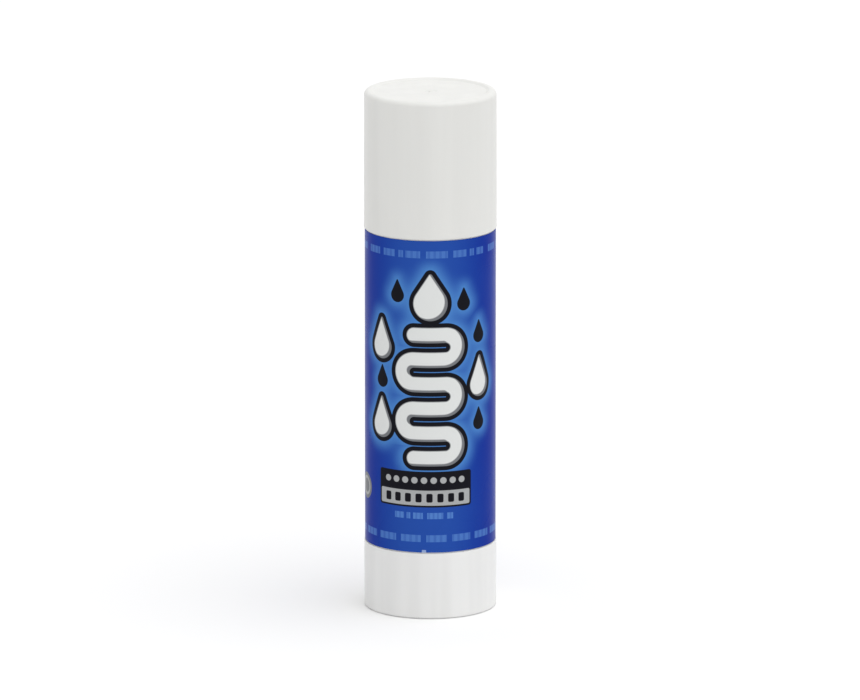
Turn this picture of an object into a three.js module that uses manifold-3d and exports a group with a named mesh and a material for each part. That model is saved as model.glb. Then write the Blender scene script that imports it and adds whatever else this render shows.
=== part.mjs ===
// Twist-up glue stick, 25 mm across and about 99 mm tall with its cap on.
// Millimetres, +Z up, origin at the centre of the foot that it stands on.
//
// A turning knob drives a threaded spindle. The spindle lifts a nut-like carrier that is kept from
// turning by ribs in the barrel, and the carrier pushes the glue out of the barrel's neck.
// The thread is left-handed, so turning the knob clockwise, seen from below, feeds the glue.

import * as THREE from "three";
import { mergeVertices } from "three/addons/utils/BufferGeometryUtils.js";
import Module from "manifold-3d";

// Driving sizes along the axis, from the foot upwards
const footRecessDepth = 0.7;
const knobFloorThickness = 1.5;
const bossHeight = 4.5;
const bossGap = 0.3;
const barrelFloorThickness = 1.3;
const seatGap = 0.05;
const sealThickness = 0.8;
const flangeThickness = 1.2;
const carrierGap = 0.5;
const carrierPlateThickness = 1.4;
const carrierRimHeight = 6.2;
const feedTravel = 70;
const rimMargin = 0.2;
const lowerNeckLength = 5.85;
const upperNeckLength = 15.7;
const knobGap = 0.15;
const capGap = 0.15;
const capHeadroom = 9.4;
const capTopThickness = 1;
const capRecessDepth = 0.3;
const spindleEndGrip = 4.5;
const glueCover = 1.1;

// Driving sizes across the axis
const coreRadius = 2.5;
const threadHeight = 1;
const threadClearance = 0.3;
const nutWall = 1.4;
const flangeWidth = 3.5;
const journalRadius = 2.6;
const journalClearance = 0.15;
const sealOverhang = 0.4;
const hexRadius = 2.45;
const hexClearance = 0.1;
const bossWall = 1.8;
const boreRadius = 10.25;
const neckWall = 0.9;
const sleeveClearance = 0.2;
const sleeveWall = 1.15;
const labelRecess = 0.1;
const labelThickness = 0.1;
const labelGap = 0.05;
const carrierClearance = 0.15;
const carrierRimWall = 1;
const glueClearance = 0.12;

// The thread of the spindle and its nut
const threadLead = 5;
const threadRootWidth = 1.6;
const threadCrestWidth = 1;
const threadRootSink = 0.25;
const threadEndMargin = 0.9;
const nutHeight = 5.1;

// Guide ribs along the barrel's bore, and the notches that run on them
const guideRibCount = 4;
const guideRibWidth = 1;
const guideRibDepth = 0.5;
const guideRibTopMargin = 1;
const guideRibClearance = 0.2;

// Small webs and ribs of the mouldings
const stopRibCount = 6;
const stopRibWidth = 0.9;
const stopRibOverlap = 0.5;
const stopRibGap = 0.2;
const gussetCount = 6;
const gussetWidth = 1;
const gussetHeight = 2.2;
const carrierWebCount = 4;
const carrierWebWidth = 1;
const carrierWebHeight = 3;
const wiperLipHeight = 1.3;
const wiperReliefDepth = 0.35;

// Snap beads on the two necks
const beadHalfWidth = 0.6;
const beadCrestHalfWidth = 0.2;
const beadClearance = 0.08;
const capBeadHeight = 2.4;
const knobBeadHeight = 2.2;

// Edges and moulding draft
const mouldDraft = THREE.MathUtils.degToRad(0.12);
const capEdgeRadius = 0.9;
const footEdgeRadius = 0.4;
const capRimWidth = 1.4;
const footRingWidth = 2.2;
const recessSlope = 0.15;
const mouthChamfer = 0.15;
const neckChamfer = 0.3;
const tipChamfer = 0.4;
const softEdge = 0.2;
const labelEndMargin = 0.05;

// Facets of the round surfaces
const outerSegments = 48;
const spindleSegments = 16;
const edgeSegments = 4;
const stepsPerTurn = 16;
const hexSides = 6;

// Heights worked out from the stack of pieces
const knobFloorTop = footRecessDepth + knobFloorThickness;
const bossTop = knobFloorTop + bossHeight;
const barrelFloorBottom = bossTop + bossGap;
const barrelFloorTop = barrelFloorBottom + barrelFloorThickness;
const sealBottom = barrelFloorTop + seatGap;
const sealTop = sealBottom + sealThickness;
const flangeBottom = sealTop + seatGap;
const flangeTop = flangeBottom + flangeThickness;
const carrierBottom = flangeTop + carrierGap;
const carrierPlateTop = carrierBottom + carrierPlateThickness;
const carrierRimTop = carrierPlateTop + carrierRimHeight;
const nutTop = carrierPlateTop + nutHeight;
const neckTop = carrierRimTop + feedTravel + rimMargin;
const lowerShoulder = barrelFloorBottom + lowerNeckLength;
const upperShoulder = neckTop - upperNeckLength;
const knobTop = lowerShoulder - knobGap;
const capMouth = upperShoulder + capGap;
const capCeiling = neckTop + capHeadroom;
const capRecessFloor = capCeiling + capTopThickness;
const capTop = capRecessFloor + capRecessDepth;
const spindleTop = carrierBottom + feedTravel + spindleEndGrip;
const glueTop = spindleTop + glueCover;
const threadStart = flangeTop + threadEndMargin;
const threadEnd = spindleTop - threadEndMargin;

// Radii worked out from the bore outwards
const threadRadius = coreRadius + threadHeight;
const nutRadius = threadRadius + threadClearance + nutWall;
const flangeRadius = coreRadius + flangeWidth;
const bossRadius = hexRadius + hexClearance + bossWall;
const neckRadius = boreRadius + neckWall;
const sleeveInnerRadius = neckRadius + sleeveClearance;
const sleeveOuterRadius = sleeveInnerRadius + sleeveWall;
const labelOuterRadius = sleeveOuterRadius - labelRecess;
const labelInnerRadius = labelOuterRadius - labelThickness;
const barrelRadius = labelInnerRadius - labelGap;
const carrierRadius = boreRadius - carrierClearance;
const carrierRimInnerRadius = carrierRadius - carrierRimWall;
const glueRadius = boreRadius - glueClearance;
const guideRibInnerRadius = boreRadius - guideRibDepth;

const wasm = await Module();
wasm.setup();

// A closed geometry as a solid that can be joined and cut
function solidOf(geometry) {
  const bare = geometry.clone();
  bare.deleteAttribute("normal");
  bare.deleteAttribute("uv");
  const merged = mergeVertices(bare);
  const index = merged.index.array;
  const corners = [];
  for (let i = 0; i < index.length; i += 3) {
    const [a, b, c] = [index[i], index[i + 1], index[i + 2]];
    if (a !== b && b !== c && c !== a) {
      corners.push(a, b, c);
    }
  }
  const vertProperties = new Float32Array(merged.attributes.position.array);
  const triVerts = new Uint32Array(corners);
  return new wasm.Manifold(new wasm.Mesh({ numProp: 3, vertProperties, triVerts }));
}

// A solid as a geometry with flat faces
function geometryOf(solid) {
  const mesh = solid.getMesh();
  const indexed = new THREE.BufferGeometry();
  indexed.setAttribute("position", new THREE.BufferAttribute(mesh.vertProperties, 3));
  indexed.setIndex(new THREE.BufferAttribute(mesh.triVerts, 1));
  const geometry = indexed.toNonIndexed();
  geometry.computeVertexNormals();
  return geometry;
}

// A profile of [radius, height] points turned round the Z axis: outer walls are listed upwards
function turned(profile, segments = outerSegments) {
  const points = profile.map(([radius, height]) => new THREE.Vector2(radius, height));
  return solidOf(new THREE.LatheGeometry(points, segments).rotateX(Math.PI / 2));
}

// A profile that goes round without touching the axis, closed on its first point
function turnedRing(profile, segments = outerSegments) {
  return turned([...profile, profile[0]], segments);
}

// A straight prism or round bar along the Z axis
function bar(radius, bottom, top, sides) {
  const geometry = new THREE.CylinderGeometry(radius, radius, top - bottom, sides);
  geometry.rotateX(Math.PI / 2);
  geometry.translate(0, 0, (bottom + top) / 2);
  return solidOf(geometry);
}

// A flat upright web from one radius to another, turned to an angle round the Z axis
function web(innerRadius, outerRadius, width, bottom, top, angle) {
  const geometry = new THREE.BoxGeometry(outerRadius - innerRadius, width, top - bottom);
  geometry.translate((innerRadius + outerRadius) / 2, 0, (bottom + top) / 2);
  geometry.rotateZ(angle);
  return solidOf(geometry);
}

// Equal angles round the axis, the first one at the start angle
function anglesOf(count, start = 0) {
  return Array.from({ length: count }, (_, i) => start + (i * 2 * Math.PI) / count);
}

// The rounded convex edge between a wall that goes up and a face that goes in, or the reverse
function roundedEdge(centreRadius, centreHeight, radius, fromAngle, toAngle) {
  return Array.from({ length: edgeSegments + 1 }, (_, i) => {
    const angle = fromAngle + ((toAngle - fromAngle) * i) / edgeSegments;
    return [centreRadius + radius * Math.cos(angle), centreHeight + radius * Math.sin(angle)];
  });
}

// A snap bead on a neck's outside, listed upwards
function beadProfile(height) {
  const crest = sleeveInnerRadius - beadClearance;
  return [
    [neckRadius, height - beadHalfWidth],
    [crest, height - beadCrestHalfWidth],
    [crest, height + beadCrestHalfWidth],
    [neckRadius, height + beadHalfWidth],
  ];
}

// The left-handed ridge of the thread between two heights, grown by a clearance where it cuts a nut
function threadRidge(fromHeight, toHeight, clearance) {
  const root = coreRadius - threadRootSink;
  const crest = threadRadius + clearance;
  const rootHalf = threadRootWidth / 2 + clearance;
  const crestHalf = threadCrestWidth / 2 + clearance;
  const section = [
    [root, -rootHalf],
    [crest, -crestHalf],
    [crest, crestHalf],
    [root, rootHalf],
  ];
  const steps = Math.ceil(((toHeight - fromHeight) / threadLead) * stepsPerTurn);
  const positions = [];
  for (let step = 0; step <= steps; step += 1) {
    const height = fromHeight + ((toHeight - fromHeight) * step) / steps;
    const angle = (-2 * Math.PI * (height - threadStart)) / threadLead;
    for (const [radius, offset] of section) {
      positions.push(radius * Math.cos(angle), radius * Math.sin(angle), height + offset);
    }
  }
  const sides = section.length;
  const triangles = [];
  for (let step = 0; step < steps; step += 1) {
    for (let side = 0; side < sides; side += 1) {
      const near = step * sides + side;
      const nearNext = step * sides + ((side + 1) % sides);
      const far = near + sides;
      const farNext = nearNext + sides;
      triangles.push(near, nearNext, farNext, near, farNext, far);
    }
  }
  const last = steps * sides;
  for (let side = 1; side < sides - 1; side += 1) {
    triangles.push(0, side + 1, side);
    triangles.push(last, last + side, last + side + 1);
  }
  const geometry = new THREE.BufferGeometry();
  geometry.setAttribute("position", new THREE.Float32BufferAttribute(positions, 3));
  geometry.setIndex(triangles);
  return solidOf(geometry);
}

// The turning knob: a cup that sleeves over the barrel's lower neck, with a socket for the spindle
function makeKnob() {
  const footRadius = sleeveOuterRadius - Math.tan(mouldDraft) * knobTop;
  const recessRadius = footRadius - footRingWidth;
  let knob = turned([
    [0, footRecessDepth],
    [recessRadius - recessSlope, footRecessDepth],
    [recessRadius, 0],
    ...roundedEdge(footRadius - footEdgeRadius, footEdgeRadius, footEdgeRadius, -Math.PI / 2, 0),
    [sleeveOuterRadius, knobTop - mouthChamfer],
    [sleeveOuterRadius - mouthChamfer, knobTop],
    [sleeveInnerRadius + mouthChamfer, knobTop],
    [sleeveInnerRadius, knobTop - mouthChamfer],
    [sleeveInnerRadius, knobFloorTop],
    [bossRadius, knobFloorTop],
    [bossRadius, bossTop],
    [0, bossTop],
  ]);
  const socketRadius = hexRadius + hexClearance;
  const gussetInner = socketRadius + bossWall / 2;
  const gussetOuter = sleeveInnerRadius + sleeveWall / 2;
  const gussetBottom = knobFloorTop - knobFloorThickness / 2;
  const gussetTop = knobFloorTop + gussetHeight;
  for (const angle of anglesOf(gussetCount)) {
    knob = knob.add(web(gussetInner, gussetOuter, gussetWidth, gussetBottom, gussetTop, angle));
  }
  return knob.subtract(bar(socketRadius, knobFloorTop, bossTop + bossHeight, hexSides));
}

// The barrel: a bore with guide ribs, a neck at each end and a floor that the spindle passes
function makeBarrel() {
  const holeRadius = journalRadius + journalClearance;
  let barrel = turnedRing([
    [holeRadius, barrelFloorBottom],
    [neckRadius - neckChamfer, barrelFloorBottom],
    [neckRadius, barrelFloorBottom + neckChamfer],
    ...beadProfile(barrelFloorBottom + knobBeadHeight),
    [neckRadius, lowerShoulder],
    [barrelRadius, lowerShoulder],
    [barrelRadius, upperShoulder],
    [neckRadius, upperShoulder],
    ...beadProfile(upperShoulder + capBeadHeight),
    [neckRadius, neckTop - neckChamfer],
    [neckRadius - neckChamfer, neckTop],
    [boreRadius, neckTop],
    [boreRadius, barrelFloorTop],
    [holeRadius, barrelFloorTop],
  ]);
  for (const angle of anglesOf(guideRibCount)) {
    const bottom = barrelFloorTop - barrelFloorThickness / 2;
    const top = neckTop - guideRibTopMargin;
    const outerRadius = boreRadius + neckWall / 2;
    barrel = barrel.add(web(guideRibInnerRadius, outerRadius, guideRibWidth, bottom, top, angle));
  }
  return barrel;
}

// The printed label, a thin sleeve round the barrel between the knob and the cap
function makeLabel() {
  return turnedRing([
    [labelInnerRadius, lowerShoulder + labelEndMargin],
    [labelOuterRadius, lowerShoulder + labelEndMargin],
    [labelOuterRadius, upperShoulder - labelEndMargin],
    [labelInnerRadius, upperShoulder - labelEndMargin],
  ]);
}

// The soft ring that keeps the glue from drying out through the barrel's floor
function makeSealRing() {
  const inner = journalRadius + threadClearance;
  const outer = flangeRadius + sealOverhang;
  return turnedRing([
    [inner, sealBottom],
    [outer - softEdge, sealBottom],
    [outer, sealBottom + softEdge],
    [outer, sealTop - softEdge],
    [outer - softEdge, sealTop],
    [inner, sealTop],
  ]);
}

// The threaded spindle, with the hexagon that the knob's socket turns
function makeSpindle() {
  const journalBottom = bossTop + seatGap;
  const stubBottom = knobFloorTop + bossGap;
  const shaft = turned(
    [
      [0, journalBottom],
      [journalRadius, journalBottom],
      [journalRadius, flangeTop - softEdge],
      [coreRadius, flangeTop],
      [coreRadius, spindleTop - tipChamfer],
      [coreRadius - tipChamfer, spindleTop],
      [0, spindleTop],
    ],
    spindleSegments,
  );
  const flange = turned([
    [0, flangeBottom],
    [flangeRadius - softEdge, flangeBottom],
    [flangeRadius, flangeBottom + softEdge],
    [flangeRadius, flangeTop],
    [0, flangeTop],
  ]);
  const hexagon = bar(hexRadius, stubBottom, flangeBottom, hexSides);
  return shaft.add(flange).add(hexagon).add(threadRidge(threadStart, threadEnd, 0));
}

// The carrier that holds the glue: a cup with the nut in its middle and notches for the guide ribs
function makeCarrier() {
  const reliefRadius = carrierRadius - wiperReliefDepth;
  let carrier = turned([
    [0, carrierBottom],
    [carrierRadius - softEdge, carrierBottom],
    [carrierRadius, carrierBottom + softEdge],
    [carrierRadius, carrierBottom + wiperLipHeight],
    [reliefRadius, carrierBottom + wiperLipHeight + wiperReliefDepth],
    [reliefRadius, carrierRimTop - wiperLipHeight - wiperReliefDepth],
    [carrierRadius, carrierRimTop - wiperLipHeight],
    [carrierRadius, carrierRimTop],
    [carrierRimInnerRadius, carrierRimTop],
    [carrierRimInnerRadius, carrierPlateTop],
    [nutRadius, carrierPlateTop],
    [nutRadius, nutTop],
    [0, nutTop],
  ]);
  const webInner = nutRadius - nutWall / 2;
  const webOuter = carrierRimInnerRadius + carrierRimWall / 2;
  const webBottom = carrierPlateTop - carrierPlateThickness / 2;
  const webTop = carrierPlateTop + carrierWebHeight;
  for (const angle of carrierWebAngles()) {
    carrier = carrier.add(web(webInner, webOuter, carrierWebWidth, webBottom, webTop, angle));
  }
  for (const angle of anglesOf(guideRibCount)) {
    carrier = carrier.subtract(guideRibSpace(carrierBottom, carrierRimTop, angle));
  }
  const throughBottom = carrierBottom - threadLead;
  const throughTop = nutTop + threadLead;
  const holeRadius = coreRadius + threadClearance;
  carrier = carrier.subtract(bar(holeRadius, throughBottom, throughTop, spindleSegments));
  return carrier.subtract(threadRidge(throughBottom, throughTop, threadClearance));
}

// The webs stand midway between the guide ribs
function carrierWebAngles() {
  return anglesOf(carrierWebCount, Math.PI / guideRibCount);
}

// The room that a guide rib needs in a piece that slides along it, cut past both of its ends
function guideRibSpace(bottom, top, angle) {
  const inner = guideRibInnerRadius - guideRibClearance;
  const width = guideRibWidth + 2 * guideRibClearance;
  return web(inner, sleeveOuterRadius, width, bottom - softEdge, top + softEdge, angle);
}

// The stick of glue, cast round the spindle and into the carrier
function makeGlue() {
  const wellRadius = threadRadius + threadClearance;
  const nutWellRadius = nutRadius + glueClearance;
  const plugRadius = carrierRimInnerRadius - glueClearance;
  const plugBottom = carrierPlateTop + glueClearance;
  const stickBottom = carrierRimTop + glueClearance;
  let glue = turned([
    [0, spindleTop + threadClearance],
    [wellRadius, spindleTop + threadClearance],
    [wellRadius, nutTop + glueClearance],
    [nutWellRadius, nutTop + glueClearance],
    [nutWellRadius, plugBottom],
    [plugRadius, plugBottom],
    [plugRadius, stickBottom],
    [glueRadius, stickBottom],
    [glueRadius, glueTop - softEdge],
    [glueRadius - softEdge, glueTop],
    [0, glueTop],
  ]);
  const webWidth = carrierWebWidth + 2 * glueClearance;
  const webTop = carrierPlateTop + carrierWebHeight + glueClearance;
  for (const angle of carrierWebAngles()) {
    glue = glue.subtract(web(nutRadius, carrierRadius, webWidth, carrierBottom, webTop, angle));
  }
  for (const angle of anglesOf(guideRibCount)) {
    glue = glue.subtract(guideRibSpace(carrierBottom, glueTop, angle));
  }
  return glue;
}

// The cap, drafted like the knob, with ribs inside that stop it on the neck's rim
function makeCap() {
  const taper = Math.tan(mouldDraft) * (capTop - capMouth);
  const outerTopRadius = sleeveOuterRadius - taper;
  const innerTopRadius = sleeveInnerRadius - taper;
  const recessRadius = outerTopRadius - capRimWidth;
  const edgeRadius = outerTopRadius - capEdgeRadius;
  const edgeHeight = capTop - capEdgeRadius;
  let cap = turned([
    [0, capCeiling],
    [innerTopRadius, capCeiling],
    [sleeveInnerRadius, neckTop],
    [sleeveInnerRadius, capMouth + mouthChamfer],
    [sleeveInnerRadius + mouthChamfer, capMouth],
    [sleeveOuterRadius - mouthChamfer, capMouth],
    [sleeveOuterRadius, capMouth + mouthChamfer],
    ...roundedEdge(edgeRadius, edgeHeight, capEdgeRadius, 0, Math.PI / 2),
    [recessRadius, capTop],
    [recessRadius - recessSlope, capRecessFloor],
    [0, capRecessFloor],
  ]);
  for (const angle of anglesOf(stopRibCount)) {
    const inner = neckRadius - stopRibOverlap;
    const outer = sleeveInnerRadius + sleeveWall / 2;
    const bottom = neckTop + stopRibGap;
    const top = capCeiling + capTopThickness / 2;
    cap = cap.add(web(inner, outer, stopRibWidth, bottom, top, angle));
  }
  return cap;
}

// Colours and finishes of the pieces
const whitePlastic = { color: 0xe6e6e4, roughness: 0.4, metalness: 0 };
const milkyPlastic = { color: 0xd8dad8, roughness: 0.5, metalness: 0 };
const blueFilm = { color: 0x2749a0, roughness: 0.25, metalness: 0 };
const softFoam = { color: 0xc9cbc8, roughness: 0.85, metalness: 0 };
const gluePaste = { color: 0xe8e4d6, roughness: 0.35, metalness: 0 };

const pieces = [
  ["knob", makeKnob, whitePlastic],
  ["barrel", makeBarrel, whitePlastic],
  ["label", makeLabel, blueFilm],
  ["seal_ring", makeSealRing, softFoam],
  ["spindle", makeSpindle, milkyPlastic],
  ["carrier", makeCarrier, milkyPlastic],
  ["glue", makeGlue, gluePaste],
  ["cap", makeCap, whitePlastic],
];

const glueStick = new THREE.Group();
for (const [name, make, finish] of pieces) {
  const mesh = new THREE.Mesh(geometryOf(make()), new THREE.MeshStandardMaterial(finish));
  mesh.name = name;
  glueStick.add(mesh);
}

export default glueStick;
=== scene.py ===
"""The looks of the glue stick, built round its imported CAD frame. Metres, +Z up, front towards -Y."""

import math

import bmesh
import bpy
from mathutils import Matrix, Vector, noise


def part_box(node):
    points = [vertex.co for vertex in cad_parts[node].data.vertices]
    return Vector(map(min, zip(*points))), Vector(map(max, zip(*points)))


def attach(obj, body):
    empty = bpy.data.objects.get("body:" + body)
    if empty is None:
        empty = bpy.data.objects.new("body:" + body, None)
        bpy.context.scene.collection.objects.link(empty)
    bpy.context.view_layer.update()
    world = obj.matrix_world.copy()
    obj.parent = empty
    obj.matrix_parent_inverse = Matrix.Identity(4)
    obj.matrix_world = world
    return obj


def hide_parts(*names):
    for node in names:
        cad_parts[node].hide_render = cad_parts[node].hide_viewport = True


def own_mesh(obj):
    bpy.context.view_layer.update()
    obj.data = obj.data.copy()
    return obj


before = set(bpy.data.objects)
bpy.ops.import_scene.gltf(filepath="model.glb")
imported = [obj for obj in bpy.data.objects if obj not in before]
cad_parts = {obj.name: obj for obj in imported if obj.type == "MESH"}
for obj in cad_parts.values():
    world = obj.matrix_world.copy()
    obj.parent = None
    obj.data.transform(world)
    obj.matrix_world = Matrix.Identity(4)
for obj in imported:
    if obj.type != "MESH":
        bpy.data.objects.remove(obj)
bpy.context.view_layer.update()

MM = 0.001

# Heights and radii of the frame's pieces
KNOB_LOW, KNOB_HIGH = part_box("knob")
BARREL_LOW, BARREL_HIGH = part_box("barrel")
LABEL_LOW, LABEL_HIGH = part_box("label")
CAP_LOW, CAP_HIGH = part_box("cap")
GLUE_LOW, GLUE_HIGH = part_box("glue")
CARRIER_LOW, CARRIER_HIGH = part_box("carrier")
SPINDLE_LOW, SPINDLE_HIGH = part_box("spindle")
SEAL_LOW, SEAL_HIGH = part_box("seal_ring")
SLEEVE_RADIUS = CAP_HIGH.x
LABEL_RADIUS = LABEL_HIGH.x
BARREL_RADIUS = BARREL_HIGH.x
GLUE_RADIUS = GLUE_HIGH.x
CARRIER_RADIUS = CARRIER_HIGH.x

# Fillets of the moulded edges
HAIR_EDGE = 0.02 * MM
KEEN_EDGE = 0.05 * MM
CRISP_EDGE = 0.1 * MM
FINE_EDGE = 0.15 * MM
SMALL_EDGE = 0.2 * MM
SOFT_EDGE = 0.35 * MM
BROAD_EDGE = 0.5 * MM
TOP_EDGE = 0.9 * MM
FOOT_EDGE = 0.4 * MM
RIB_EDGE = 0.12 * MM

# The bore and the draft that the cap and the knob share
SLEEVE_BORE = 11.35 * MM
DRAFT = math.radians(0.12)

# The cap
MOUTH_LEAD = 0.5 * MM
MOUTH_FLARE = 0.12 * MM
TOP_WALL = 1.0 * MM
TOP_RECESS = 0.3 * MM
TOP_RIM = 1.4 * MM
TOP_SLOPE = 0.5 * MM
STOP_RIBS = 6
STOP_RIB = 0.9 * MM
STOP_RIB_REACH = 0.5 * MM
STOP_RIB_GAP = 0.2 * MM

# The knob
FOOT_RECESS = 0.7 * MM
FOOT_RING = 2.2 * MM
FOOT_SLOPE = 0.25 * MM
KNOB_FLOOR = 1.5 * MM
BOSS_RADIUS = 4.35 * MM
BOSS_HEIGHT = 4.5 * MM
SOCKET_RADIUS = 2.55 * MM
GUSSETS = 6
GUSSET = 1.0 * MM
GUSSET_HEIGHT = 2.2 * MM

# The mark of the mould's gate: a shallow dish with a nub in its middle
GATE_RADIUS = 1.0 * MM
GATE_SLOPE = 0.4 * MM
GATE_DEPTH = 0.12 * MM
NUB_RADIUS = 0.32 * MM
NUB_SLOPE = 0.1 * MM
NUB_RISE = 0.04 * MM

# The barrel
NECK_RADIUS = 11.15 * MM
BORE_RADIUS = 10.25 * MM
BARREL_HOLE = 2.75 * MM
BARREL_FLOOR = 1.3 * MM
SHOULDER_GAP = 0.04 * MM
SNAP_RADIUS = 11.27 * MM
SNAP_HALF_WIDTH = 0.6 * MM
SNAP_CREST_HALF_WIDTH = 0.15 * MM
KNOB_SNAP_HEIGHT = 2.2 * MM
CAP_SNAP_HEIGHT = 2.4 * MM
GUIDE_RIBS = 4
GUIDE_RIB = 1.0 * MM
GUIDE_DEPTH = 0.5 * MM
GUIDE_CLEARANCE = 0.2 * MM
GUIDE_TOP_MARGIN = 1.0 * MM
GROOVE = GUIDE_RIB + 2 * GUIDE_CLEARANCE
GROOVE_FLOOR = BORE_RADIUS - GUIDE_DEPTH - GUIDE_CLEARANCE

# The label's film and its lap at the back
FILM_THICKNESS = 0.1 * MM
LAP_WIDTH = 4.0 * MM
LAP_STEP = 0.035 * MM

# The seal ring, the spindle and its thread
SEAL_CLEARANCE = 0.3 * MM
CORE_RADIUS = 2.5 * MM
JOURNAL_RADIUS = 2.6 * MM
JOURNAL_RISE = 0.25 * MM
FLANGE_THICKNESS = 1.2 * MM
HEX_RADIUS = 2.45 * MM
THREAD_HEIGHT = 1.0 * MM
THREAD_LEAD = 5.0 * MM
THREAD_ROOT_WIDTH = 1.6 * MM
THREAD_CREST_WIDTH = 1.0 * MM
THREAD_ROOT_SINK = 0.25 * MM
THREAD_CLEARANCE = 0.3 * MM
THREAD_MARGIN = 0.9 * MM
THREAD_RADIUS = CORE_RADIUS + THREAD_HEIGHT

# A small turn that keeps the thread's rows of points off the columns of the round meshes
THREAD_TURN = math.radians(0.375)

# The carrier
CARRIER_GAP = 0.5 * MM
CARRIER_RIM = 1.0 * MM
CARRIER_WEBS = 4
WEB_TURN = math.pi / 4
CARRIER_WEB = 1.0 * MM
CARRIER_WEB_HEIGHT = 3.0 * MM
PLATE_THICKNESS = 1.4 * MM
NUT_RADIUS = 5.2 * MM
NUT_HEIGHT = 5.1 * MM
WIPER_LIP = 1.3 * MM
WIPER_RELIEF = 0.35 * MM
FLANGE_TOP = CARRIER_LOW.z - CARRIER_GAP
PLATE_TOP = CARRIER_LOW.z + PLATE_THICKNESS

# The glue: its cast top falls towards the middle, swells, and has a mark where the pour broke off
PASTE_GAP = 0.12 * MM
CAST_RINGS = 28
CAST_SINK = 0.35 * MM
CAST_SINK_POWER = 6
CAST_CALM = 6
SWELL_SIZE = 3.2 * MM
SWELL_HEIGHT = 0.16 * MM
POUR_MARK = Vector((1.6 * MM, -1.1 * MM, 0))
POUR_MARK_RADIUS = 1.35 * MM
POUR_MARK_DEPTH = 0.25 * MM

# Fineness of the round meshes
COLUMNS = 192
THREAD_STEPS = 40
ARC_STEP = math.radians(12)
RIB_EDGE_STEPS = 2
SHARP_ANGLE = math.radians(32)
SHADING_WEIGHT = 80
AXIS_RADIUS = 0.001 * MM

# Camera, from a fit of the stick's rims in the photograph
CAMERA_ELEVATION = math.radians(12.9)
CAMERA_DISTANCE = 2.0
CAMERA_TARGET = Vector((-0.06 * MM, 0, 49.24 * MM))
SENSOR_WIDTH = 36.0
FOCAL_LENGTH = 443.6

# Studio floor: its size, and its colour as the light finds it and as the camera and reflections see it
FLOOR_REACH = 4.0
FLOOR_SINK = 0.02 * MM
FLOOR_LIT = (0.8, 0.8, 0.8, 1)
FLOOR_SHOWN = (0.95, 0.95, 0.95, 1)


# Meshes

def rounded(corners):
    """The points of an outline whose corners are (radius, height, fillet), each fillet as an arc."""
    points = []
    for place, (radius, height, fillet) in enumerate(corners):
        here = Vector((radius, height))
        if fillet == 0:
            points.append(here)
            continue
        before = Vector(corners[place - 1][:2])
        after = Vector(corners[(place + 1) % len(corners)][:2])
        back = (before - here).normalized()
        ahead = (after - here).normalized()
        half = back.angle(ahead) / 2
        centre = here + (back + ahead).normalized() * fillet / math.sin(half)
        spoke = here + back * fillet / math.tan(half) - centre
        sweep = math.pi - 2 * half
        if back.cross(ahead) > 0:
            sweep = -sweep
        steps = max(2, math.ceil(abs(sweep) / ARC_STEP))
        for step in range(steps + 1):
            turned = Matrix.Rotation(sweep * step / steps, 2) @ spoke
            points.append(centre + turned)
    return points


def unmoved(angle, radius, height):
    """The shape of a piece that is equal all round."""
    return radius, height


def revolve(name, corners, columns=COLUMNS, ring=False, shape=unmoved):
    """An outline with rounded corners turned round the Z axis. A ring's outline closes on itself.
    The shape gives a point's final radius and height from its angle, radius and height."""
    mesh = bmesh.new()
    rows = []
    for outline_radius, outline_height in rounded(corners):
        around = columns if outline_radius > AXIS_RADIUS else 1
        row = []
        for column in range(around):
            angle = 2 * math.pi * column / columns
            radius, height = shape(angle, outline_radius, outline_height)
            row.append(mesh.verts.new((radius * math.cos(angle), radius * math.sin(angle), height)))
        rows.append(row)
    pairs = list(zip(rows, rows[1:]))
    if ring:
        pairs.append((rows[-1], rows[0]))
    for lower, upper in pairs:
        for column in range(columns):
            following = (column + 1) % columns
            face = [lower[column % len(lower)], lower[following % len(lower)]]
            face += [upper[following % len(upper)], upper[column % len(upper)]]
            face = list(dict.fromkeys(face))
            if len(face) > 2:
                mesh.faces.new(face)
    return to_object(name, mesh)


def to_object(name, mesh):
    """A bmesh as an object in the scene, its faces all pointing outwards."""
    bmesh.ops.recalc_face_normals(mesh, faces=mesh.faces)
    data = bpy.data.meshes.new(name)
    mesh.to_mesh(data)
    mesh.free()
    piece = bpy.data.objects.new(name, data)
    bpy.context.collection.objects.link(piece)
    return piece


def ribs(count, inner, outer, width, low, high, start=0.0):
    """Upright webs with soft edges at equal angles round the axis, each from one radius to another."""
    size = Vector((outer - inner, width, high - low))
    middle = Vector(((inner + outer) / 2, 0, (low + high) / 2))
    block = Matrix.Translation(middle) @ Matrix.Diagonal((*size, 1))
    webs = []
    for place in range(count):
        turn = Matrix.Rotation(start + 2 * math.pi * place / count, 4, "Z")
        mesh = bmesh.new()
        bmesh.ops.create_cube(mesh, size=1, matrix=turn @ block)
        bmesh.ops.bevel(
            mesh,
            geom=mesh.edges[:],
            offset=RIB_EDGE,
            segments=RIB_EDGE_STEPS,
            profile=0.5,
            affect="EDGES",
        )
        webs.append(to_object("rib", mesh))
    return webs


def hexagon(radius, low, high):
    """An upright bar of six sides, its corners between the columns of the round meshes."""
    mesh = bmesh.new()
    turn = Matrix.Rotation(math.pi / COLUMNS, 4, "Z")
    place = Matrix.Translation((0, 0, (low + high) / 2)) @ turn
    bmesh.ops.create_cone(
        mesh, cap_ends=True, segments=6, radius1=radius, radius2=radius, depth=high - low, matrix=place
    )
    return to_object("hexagon", mesh)


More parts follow.
